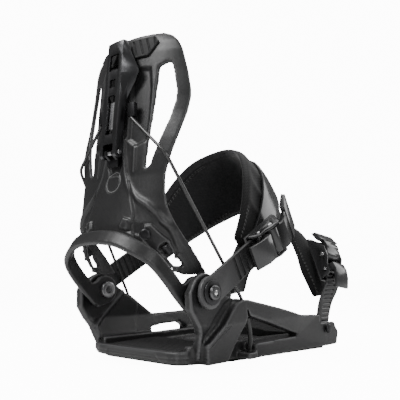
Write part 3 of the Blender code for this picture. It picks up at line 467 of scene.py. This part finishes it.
def carveGrip(places, normals, spec=grip):
    y, z = places[:, 1], places[:, 2]
    slant = np.abs(y) + (z - spec["middle"]) * spec["slant"]
    rib = np.abs((slant + spec["pitch"] / 2) % spec["pitch"] - spec["pitch"] / 2)
    height = -ridge(rib, spec["depth"], spec["width"]) * rise(z, spec["low"], spec["low"] + spec["fade"])
    height *= 1 - rise(z, spec["high"] - spec["fade"], spec["high"])
    return normals * (height * rise(-normals[:, 0], 0.3, 0.6))[:, None]


moulded("highback", "nylon", 0.85, 12, carveBack, slotWebs())
moulded("top_grip", "rubber", 0.42, 2, carveGrip)
print("highback carved")


# base: (along, height) on the side walls
wall = {
    "from": 50,  # distance of the walls' inner faces from the middle
    "front": -50,  # the lower moulding ends here
    "nearRim": [(-58, 57), (-68, 66), (-80, 77.2), (-96, 78.4), (-109, 70), (-113, 59), (-111.5, 46),
                (-99, 29), (-94, 10)],
    "farRim": [(-66, 62), (-80, 77.2), (-96, 78.4), (-111, 69), (-116.5, 58), (-116, 45), (-105, 28),
               (-99, 10)],
    "rim": (0.9, 1.7),  # height and width
    "farRib": {"line": [(-71, 56), (-103, 27), (-101, 12)], "height": 2.2, "width": 1.9},
    "label": [(-79, 35.5), (-72.5, 33.2), (-91, 16.5), (-97, 20.5)],
    "hatch": (0.72, -0.69, 3.2),
    "groove": {"line": [(-95, 24), (-86, 37.4), (-73, 49.4), (-60, 54.5)], "height": 0.9, "width": 1.2},
    "moulding": (8.6, 0.7, 0.7),  # level, depth and width
    "heelPanel": {"loop": [(-34, 3), (-28, 12), (28, 12), (34, 3)], "height": 0.5, "soft": 0.8},
}


def carveBase(places, normals, spec=wall):
    x, y, z = places.T
    flat = np.stack([x, z], 1)
    outward = np.sign(y) * normals[:, 1]
    outside, inside = rise(outward, 0.45, 0.8), rise(-outward, 0.45, 0.8)
    onWall = np.abs(y) > spec["from"]
    near, far = (y < 0) * onWall, (y > 0) * onWall
    height = near * outside * beam(flat, spec["nearRim"], *spec["rim"])
    height += far * (inside + outside) * beam(flat, spec["farRim"], *spec["rim"])
    height += far * inside * beam(flat, **spec["farRib"])
    alongX, alongZ, lines = spec["hatch"]
    hatch = np.sin((x * alongX + z * alongZ) * lines)
    height += near * outside * rise(within(flat, spec["label"]), 0, 0.6) * (0.4 + 0.4 * hatch)
    height -= outside * onWall * (x < spec["front"]) * beam(flat, **spec["groove"])
    level, depth, width = spec["moulding"]
    sideways = rise(np.hypot(normals[:, 0], normals[:, 1]), 0.75, 0.95)
    height -= sideways * (np.abs(y) < 62) * (x < spec["front"]) * ridge(z - level, depth, width)
    rear = rise(-normals[:, 0], 0.5, 0.8) * (x < -100)
    height -= rear * pad(np.stack([y, z], 1), **spec["heelPanel"])
    return normals * height[:, None]


footbed = {"pitch": 5.2, "slant": 0.14, "depth": 0.75, "half": 46, "border": (3, 5)}


def carveFootbed(places, normals, spec=footbed):
    # cross ribs on the top face, with a plain border
    x, y, _ = places.T
    rib = np.sin(x * 2 * math.pi / spec["pitch"] + spec["slant"] * np.abs(y))
    border = rise(spec["half"] - np.abs(y), *spec["border"])
    top = rise(normals[:, 2], 0.6, 0.9)
    return normals * (-spec["depth"] * rise(rib, -0.2, 0.5) * border * top)[:, None]


ladder = {"pitch": 4.3, "depth": 1.1, "half": 8.2, "lean": 0.16, "leanFrom": 30, "start": 24,
          "edgeToMiddle": 15.5}


def carveLadder(places, normals, spec=ladder):
    # slots across the outer face of a ladder
    x, y, z = places.T
    slot = rise(np.sin(z * 2 * math.pi / spec["pitch"]), 0.1, 0.6)
    face = rise(np.sign(y) * normals[:, 1], 0.35, 0.7)
    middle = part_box("toe_ladder_near")[0].x / mm + spec["edgeToMiddle"]
    lane = rise(spec["half"] - np.abs(x - (middle + (z - spec["leanFrom"]) * spec["lean"])), 0, 1.2)
    started = rise(z, spec["start"], spec["start"] + 2)
    return normals * (-spec["depth"] * slot * face * lane * started)[:, None]


moulded("base_tray", "nylon", 1.15, 2, carveBase)
moulded("heel_hoop", "nylon", 0.9, 5)
moulded("heel_pad", "rubber", 0.8, 1, carveFootbed)
moulded("toe_pad_ramp", "rubber", 0.9, 1, carveFootbed)
moulded("base_gasket", "foam", 1.3, 1)
for word in sides:
    moulded(f"toe_ladder_{word}", "nylon", 0.55, 1, carveLadder)
print("base carved")

# parts that keep their sharp forms
chamfers = {
    "mounting_disc": ("nylon", 0.5), "lever": ("leverMetal", 0.45), "lever_bracket": ("blackMetal", 0.3),
    "lever_pin": ("steel", 0.25), "cable_block": ("brightMetal", 0.5),
    "ankle_buckle_frame": ("gloss", 0.5), "ankle_ratchet_lever": ("gloss", 0.9),
    "ankle_pawl": ("gloss", 0.6), "ankle_lever_pin": ("brightMetal", 0.3),
    "ankle_pawl_pin": ("brightMetal", 0.25), "ankle_shell": ("gloss", 0.7),
    "toe_buckle_frame": ("gloss", 0.5), "toe_ratchet_lever": ("gloss", 0.9), "toe_pawl": ("gloss", 0.6),
    "toe_lever_pin": ("brightMetal", 0.3), "toe_pawl_pin": ("brightMetal", 0.25),
}
for word in sides:
    chamfers.update({f"ankle_arm_{word}": ("nylon", 0.45), f"cable_guide_{word}": ("blackMetal", 0.5),
                     f"hoop_screw_{word}": ("blackMetal", 0.35), f"clamp_block_{word}": ("blackMetal", 0.5),
                     f"pivot_bolt_{word}": ("darkSteel", 0.3), f"pivot_nut_{word}": ("steel", 0.3),
                     f"pivot_washer_{word}": ("blackMetal", 0.4),
                     f"strap_spacer_{word}": ("blackMetal", 0.4),
                     f"toe_bolt_{word}": ("blackMetal", 0.3)})
for k in range(4):
    chamfers[f"disc_screw_{k + 1}"] = ("steel", 0.4)
for node, (finish, width) in chamfers.items():
    crisp(node, finish, width)


drive = {"radius": 2.1, "deep": 1.8, "sunk": 1.1, "soft": 0.25}


def driveHex(word, side, spec=drive):
    # the bright hexagon in the middle of a pivot bolt
    low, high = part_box(f"pivot_bolt_{word}")
    outer = min(low.y, high.y) if side < 0 else max(low.y, high.y)
    spot = ((low.x + high.x) / 2, outer - side * spec["sunk"] * mm, (low.z + high.z) / 2)
    turn = Matrix.Translation(spot) @ Matrix.Rotation(math.pi / 2, 4, "X")
    shape = bmesh.new()
    bmesh.ops.create_cone(shape, cap_ends=True, segments=6, radius1=spec["radius"] * mm,
                          radius2=spec["radius"] * mm, depth=spec["deep"] * mm, matrix=turn)
    bmesh.ops.bevel(shape, geom=shape.edges[:], offset=spec["soft"] * mm, segments=2, affect="EDGES",
                    profile=0.5, material=-1)
    keep(f"pivot_drive_{word}", shape, "brightMetal", nodes[f"pivot_bolt_{word}"]["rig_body"])


for word, side in sides.items():
    driveHex(word, side)
print("sharp parts finished")


# padded straps: rear edge, middle line and front edge from the middle of the boot to the far side
straps = {
    "ankle": {
        "node": "ankle_pad", "body": "ankle_strap", "thick": 8.0, "cells": (74, 22), "puff": 2.2,
        "rear": [(7, 0, 200), (1, 20, 194.5), (-9, 34, 184), (-20, 46, 166), (-30, 54, 146),
                 (-39, 59, 125), (-48, 61.5, 103)],
        "middle": [(44, 0, 178), (38, 23, 171), (26, 40, 157), (11, 52, 140), (-5, 59, 122),
                   (-22, 61.8, 105), (-40, 62, 91)],
        "front": [(67, 0, 143), (61, 22, 138), (49, 38, 128), (34, 51, 117), (13, 58.5, 104),
                  (-10, 61.5, 91), (-34, 62, 79)],
    },
    "toe": {
        "node": "toe_strap_pad", "body": "toe_strap", "thick": 8.0, "cells": (54, 12), "puff": 1.8,
        "rear": [(96, 0, 121), (88, 20, 113), (77, 38, 94), (73, 50, 74), (82, 58.5, 51)],
        "middle": [(112, 0, 128), (106, 22, 121), (98, 41, 102), (96, 54, 78), (96, 59.5, 52)],
        "front": [(126, 0, 114), (123, 21, 108), (117, 38, 93), (113, 51, 74), (108, 58.5, 53)],
    },
}


def curveAt(line, share):
    # a point on the smooth curve through a line's points, share of the way along it
    points = [Vector(p) for p in line]
    points = [2 * points[0] - points[1], *points, 2 * points[-1] - points[-2]]
    spans = len(line) - 1
    at = min(int(share * spans), spans - 1)
    t = share * spans - at
    a, b, c, d = points[at:at + 4]
    square, cube = 2 * a - 5 * b + 4 * c - d, 3 * b - 3 * c + d - a
    return 0.5 * (2 * b + (c - a) * t + square * t * t + cube * t ** 3)


def wholeLine(half):
    return [(x, -y, z) for x, y, z in half[:0:-1]] + list(half)


def strapAt(spec, along, across):
    # a point on the outer face, with the way out of it
    def here(u, v):
        a, b, c = (curveAt(wholeLine(spec[key]), u) for key in ("rear", "middle", "front"))
        bend = 2 * b - (a + c) / 2
        return (1 - v) ** 2 * a + 2 * v * (1 - v) * bend + v * v * c

    step = 0.01
    u0, u1 = max(0, along - step), min(1, along + step)
    v0, v1 = max(0, across - step), min(1, across + step)
    out = (here(along, v1) - here(along, v0)).cross(here(u1, across) - here(u0, across)).normalized()
    return here(along, across), out


def strapSurface(spec, along, across, depth):
    spot, out = strapAt(spec, along, across)
    return (spot + out * depth) * mm


# how the strap thins towards its edges, and the size of one cell of its cloth in metres
edges = {"side": 0.22, "end": 0.035, "slim": 2.6, "curve": 2.2, "sunk": 0.6, "thread": 0.004}


def strapMesh(spec):
    # a flat grid, laid on the strap's outer face and extruded through its thickness
    long, wide = spec["cells"]
    step = edges["thread"]
    shape = bmesh.new()
    cloth = shape.loops.layers.uv.new("cloth")
    bmesh.ops.create_grid(shape, x_segments=long, y_segments=wide, size=0.5)
    flat = {v: (v.co.x + 0.5, v.co.y + 0.5) for v in shape.verts}
    extra = bmesh.ops.extrude_face_region(shape, geom=shape.faces[:], use_keep_orig=True)
    inner = [v for v in extra["geom"] if isinstance(v, bmesh.types.BMVert)]
    seat = {v: (v.co.x + 0.5, v.co.y + 0.5) for v in inner}
    for face in shape.faces:
        for loop in face.loops:
            u, v = seat.get(loop.vert) or flat[loop.vert]
            loop[cloth].uv = (u * long * step, v * wide * step)
    for places, onBoot in ((flat, False), (seat, True)):
        for vertex, (u, v) in places.items():
            aside = 1 - min(1, max(0.0, 1 - abs(2 * v - 1)) / edges["side"])
            end = max(0.0, 1 - min(u, 1 - u) / edges["end"])
            sunk = edges["sunk"] + edges["slim"] * max(aside, end) ** edges["curve"]
            depth = sunk - spec["thick"] if onBoot else -sunk
            vertex.co = strapSurface(spec, min(1, max(0, u)), min(1, max(0, v)), depth)
    bmesh.ops.recalc_face_normals(shape, faces=shape.faces)
    return shape


filling = {"quality": 5, "mass": 0.15, "stretch": 25, "bend": 0.4, "pressure": 4, "steps": 20}


def inflate(made, most, spec=filling):
    # air pressure fills the pad; no point moves further than most
    rest = reached(made.data, "co", 3)
    cloth = made.modifiers.new("fill", "CLOTH")
    cloth.settings.quality = spec["quality"]
    cloth.settings.mass = spec["mass"]
    cloth.settings.tension_stiffness = spec["stretch"]
    cloth.settings.compression_stiffness = spec["stretch"]
    cloth.settings.bending_stiffness = spec["bend"]
    cloth.settings.use_pressure = True
    cloth.settings.uniform_pressure_force = spec["pressure"]
    cloth.settings.effector_weights.gravity = 0
    cloth.point_cache.frame_start, cloth.point_cache.frame_end = 1, spec["steps"]
    for step in range(spec["steps"]):
        bpy.context.scene.frame_set(step + 1)
    graph = bpy.context.evaluated_depsgraph_get()
    moved = reached(made.evaluated_get(graph).to_mesh(), "co", 3) - rest
    made.modifiers.clear()
    bpy.context.scene.frame_set(1)
    far = np.linalg.norm(moved, axis=1, keepdims=True)
    moved *= np.minimum(1, most * mm / np.maximum(far, 1e-9))
    made.data.vertices.foreach_set("co", (rest + moved).ravel())
    made.data.update()


sewing = {"samples": (120, 24), "seam": 0.1, "depth": 0.9, "width": 0.018, "bound": 0.06, "lined": -0.3}


def strapPlaces(spec, places):
    # for each place on a pad: its share across the strap, and the way out of the strap there
    long, wide = sewing["samples"]
    shares = [(i / long, j / wide) for i in range(long + 1) for j in range(wide + 1)]
    samples = [(*strapAt(spec, u, v), v) for u, v in shares]
    tree = KDTree(len(samples))
    for k, (spot, _, _) in enumerate(samples):
        tree.insert(spot, k)
    tree.balance()
    near = [tree.find(p / mm)[1] for p in places]
    return np.array([samples[k][2] for k in near]), np.array([samples[k][1] for k in near])


def makeStrap(word, spec):
    made = helper(strapMesh(spec))
    inflate(made, spec["puff"])
    fine = made.modifiers.new("fine", "SUBSURF")
    fine.levels = fine.render_levels = 2
    data = settled(made)
    places, normals = reached(data, "co", 3), reached(data, "normal", 3)
    across, out = strapPlaces(spec, places)
    facing = np.sum(out * normals, axis=1)
    seam = np.minimum(np.abs(across - sewing["seam"]), np.abs(across - (1 - sewing["seam"])))
    channel = ridge(seam, sewing["depth"], sewing["width"]) * rise(np.abs(facing), 0.5, 0.8)
    data.vertices.foreach_set("co", (places - normals * channel[:, None] * mm).ravel())
    data.update()
    made = keep(f"{word}_strap_pad", data, "cloth", spec["body"], (spec["node"],), sharp=0,
                others=("lining", "binding"))
    for face in made.data.polygons:
        corner = face.vertices[0]
        # faces turned to the boot take the darker lining: painted shade
        if facing[corner] < sewing["lined"]:
            face.material_index = 1
        # faces near the strap's sides take the paler binding: binding tape, painted lighter as the lit edge
        elif min(across[corner], 1 - across[corner]) < sewing["bound"]:
            face.material_index = 2


for word, spec in straps.items():
    makeStrap(word, spec)
print("straps padded")


# stitches lie along both edges of each strap, in two rows
stitch = {"long": 2.6, "gap": 1.5, "half": 0.32, "rows": (0.088, 0.112, 0.888, 0.912), "sunk": 0.9,
          "cell": 4.0}


def stitchLine(shape, spec, across, lift):
    long = spec["cells"][0] * stitch["cell"]
    lie = Matrix.Rotation(math.pi / 2, 4, "Y")
    count = int(long / (stitch["long"] + stitch["gap"]))
    for k in range(1, count):
        middle = strapSurface(spec, k / count, across, lift)
        ahead = strapSurface(spec, k / count + 0.004, across, lift)
        _, out = strapAt(spec, k / count, across)
        along = (ahead - middle).normalized()
        aside = out.cross(along)
        turn = Matrix((along, aside, out)).transposed().to_4x4()
        size = Matrix.Diagonal((stitch["long"] / 2 * mm, stitch["half"] * mm, stitch["half"] * mm, 1))
        bmesh.ops.create_uvsphere(shape, u_segments=6, v_segments=5, radius=1,
                                  matrix=Matrix.Translation(middle) @ turn @ size @ lie)


for word, spec in straps.items():
    shape = bmesh.new()
    for across in stitch["rows"]:
        stitchLine(shape, spec, across, -stitch["sunk"])
        stitchLine(shape, spec, across, -spec["thick"] + stitch["sunk"])
    keep(f"{word}_stitches", shape, "thread", spec["body"], sharp=0)
print("stitches sewn")


# the cables, over the back to the walls, and their sleeves
cable = {
    "radius": 1.35,
    "route": [(-131.6, 19, 195), (-127, 53.6, 162), (-55.8, 69, 52.2), (-50.5, 69.9, 38)],
    "sleeveRadius": 2.0,
    "sleeve": [(-50.2, 69.9, 37.4), (-47.2, 69.5, 29), (-42, 66.6, 19), (-37.6, 62, 11.5), (-37, 61.4, 5.5)],
    "bend": 5,
}


def rounded(route, reach, steps=5):
    points = [Vector(p) for p in route]
    out = [points[0]]
    for before, here, after in zip(points, points[1:], points[2:]):
        start = here + (before - here).normalized() * reach
        end = here + (after - here).normalized() * reach
        for k in range(steps + 1):
            t = k / steps
            out.append(start.lerp(here, t).lerp(here.lerp(end, t), t))
    return out + [points[-1]]


def tube(name, points, radius, finish, body, replaced=(), sides=16):
    line = bpy.data.curves.new(name, "CURVE")
    line.dimensions = "3D"
    line.bevel_depth = radius * mm
    line.bevel_resolution = sides // 4
    line.use_fill_caps = True
    spline = line.splines.new("POLY")
    spline.points.add(len(points) - 1)
    for spot, point in zip(spline.points, points):
        spot.co = (*(Vector(point) * mm), 1)
    made = bpy.data.objects.new(name, line)
    bpy.context.scene.collection.objects.link(made)
    data = settled(made)
    return keep(name, data, finish, body, replaced, sharp=40)


ring = {"steps": 48, "radius": 0.42, "behind": -0.3}


def emblemRing(spec=back["seat"]):
    # a plain ring printed on the highback's back face
    skin = bpy.data.objects["highback_skin"]
    points = []
    for k in range(ring["steps"] + 1):
        turn = 2 * math.pi * k / ring["steps"]
        y, z = spec["radius"] * math.sin(turn), spec["middle"] + spec["radius"] * math.cos(turn)
        hit, spot, _, _ = skin.ray_cast(Vector((ring["behind"], y * mm, z * mm)), Vector((1, 0, 0)))
        if hit:
            points.append(spot / mm)
    tube("highback_ring", points, ring["radius"], "print", "highback")


emblemRing()


def evenly(points, step):
    # more points along each straight stretch, so that it can bend smoothly
    out = [points[0]]
    for a, b in zip(points, points[1:]):
        count = max(1, round((b - a).length / step))
        out += [a.lerp(b, (k + 1) / count) for k in range(count)]
    return out


for word, side in sides.items():
    upper = evenly(rounded([(x, y * side, z) for x, y, z in cable["route"]], cable["bend"]), 4)
    line = tube(f"{word}_cable", upper, cable["radius"], "cable", None, (f"cable_{word}",))
    upper[-1] * mm
    upper[0] * mm
    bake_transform(line)
    lower = [curveAt([(x, y * side, z) for x, y, z in cable["sleeve"]], k / 24) for k in range(25)]
    tube(f"{word}_cable_sleeve", lower, cable["sleeveRadius"], "sheath", "base", (f"cable_sheath_{word}",))
print("cables run")


# floor, backdrop and light
studio = {"floorRadius": 6.0, "white": (0.9, 0.9, 0.9), "distant": (0.5, 0.5, 0.5),
          "lowGlow": (0.06, 0.06, 0.06), "glow": (12.0, 12.0, 12.0), "backdrop": 12.5, "fill": 0.2}


# place, width and power
lamps = {
    "keyLight": ((-0.9, 0.25, 1.1), 0.5, 14),
    "sideLight": ((-0.5, -1.1, 0.7), 0.5, 5),
    "topLight": ((0.25, 0.1, 1.3), 1.1, 9),
    "rimLight": ((1.0, -0.5, 0.7), 0.8, 6),
}


def makeStudio(spec=studio):
    shape = bmesh.new()
    bmesh.ops.create_circle(shape, cap_ends=True, cap_tris=False, segments=96, radius=spec["floorRadius"],
                            matrix=Matrix.Translation((0, 0, -0.0003)))
    data = bpy.data.meshes.new("studioFloor")
    shape.to_mesh(data)
    shape.free()
    floor = bpy.data.objects.new("studioFloor", data)
    bpy.context.scene.collection.objects.link(floor)
    paper = Finish("palePaper", Roughness=0.9, Specular_IOR_Level=0.1)
    x, y, _ = paper.parts(paper.place())
    far = ((x * x + y * y) ** 0.5).ease(0.2, 0.9)
    paper.feed(Base_Color=paper.blend(far, spec["white"], spec["distant"]))
    seen = paper.node("ShaderNodeLightPath", out="Is Camera Ray")
    paper.feed(Emission_Color=paper.blend(seen, spec["lowGlow"], spec["glow"]))  # bright only to the camera
    paper.shader.inputs["Emission Strength"].default_value = 1.0
    data.materials.append(paper.made)
    world = bpy.data.worlds.new("studioWorld")
    bpy.context.scene.world = world
    world.use_nodes = True
    tree = world.node_tree
    tree.nodes["Background"].inputs["Color"].default_value = (1, 1, 1, 1)
    seen = tree.nodes.new("ShaderNodeLightPath")
    level = tree.nodes.new("ShaderNodeMapRange")  # a bright backdrop, with softer light on the object
    level.inputs["To Min"].default_value = spec["fill"]
    level.inputs["To Max"].default_value = spec["backdrop"]
    tree.links.new(seen.outputs["Is Camera Ray"], level.inputs["Value"])
    tree.links.new(level.outputs["Result"], tree.nodes["Background"].inputs["Strength"])
    for name, (place, size, power) in lamps.items():
        lamp = bpy.data.lights.new(name, "AREA")
        lamp.size = size
        lamp.energy = power
        made = bpy.data.objects.new(name, lamp)
        bpy.context.scene.collection.objects.link(made)
        made.location = place
        made.rotation_euler = (Vector((0, 0, 0.1)) - Vector(place)).to_track_quat("-Z", "Y").to_euler()


makeStudio()
print("studio lit")
